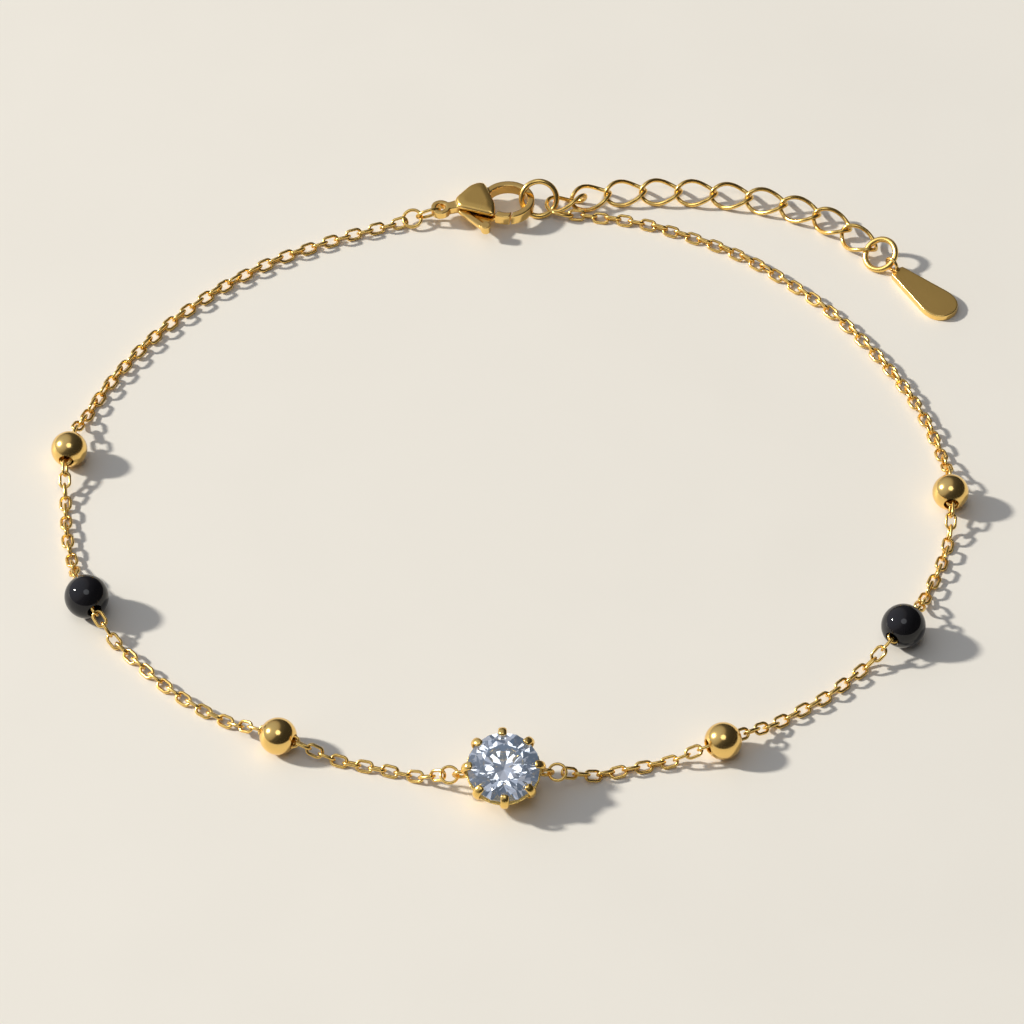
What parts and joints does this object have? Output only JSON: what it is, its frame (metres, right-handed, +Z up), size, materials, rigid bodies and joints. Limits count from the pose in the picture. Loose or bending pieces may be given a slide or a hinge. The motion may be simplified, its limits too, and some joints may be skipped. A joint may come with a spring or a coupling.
{
  "type": "chain bracelet",
  "caption": "Fine gold-coloured cable-chain bracelet with bead stations, a round prong-set stone, a lobster clasp with a sprung lever, and a curb-chain extender with a drop-shaped tag.",
  "frame": {"origin": "on the surface that the bracelet lies on, under the middle of its outline", "axes": "+X from the left strand to the right strand, +Y from the stone to the clasp, +Z up from the surface"},
  "size_m": [0.0632, 0.0589, 0.004],
  "materials": {
    "gold": "polished",
    "satin_gold": "satin",
    "onyx": "polished",
    "stone": "polished"
  },
  "bodies": {
    "bracelet": {"chain_left": "gold", "chain_right": "gold", "gold_bead_back_left": "gold", "gold_bead_front_left": "gold", "gold_bead_front_right": "gold", "gold_bead_back_right": "gold", "onyx_bead_left": "onyx", "onyx_bead_right": "onyx", "stone": "stone", "setting": "gold", "setting_ring_left": "gold", "setting_ring_right": "gold", "tail_ring": "gold", "tail_link": "gold", "clasp_body": "gold", "clasp_rivet": "gold", "end_ring": "gold", "chain_end_link": "gold", "extender_link_01": "gold", "extender_link_02": "gold", "extender_link_03": "gold", "extender_link_04": "gold", "extender_link_05": "gold", "extender_link_06": "gold", "extender_link_07": "gold", "extender_link_08": "gold", "extender_link_09": "gold", "extender_link_10": "gold", "tag_ring": "gold", "tag": "satin_gold"},
    "lever": {"clasp_lever": "gold"}
  },
  "joints": [
    {"name": "lever_pivot", "type": "hinge", "parent": "bracelet", "child": "lever", "pos_m": [-0.00226, 0.02637, 0.0011], "axis": [0, 0, 1], "range_deg": [0, 20], "stiffness_Nm_per_rad": 0.001}
  ]
}
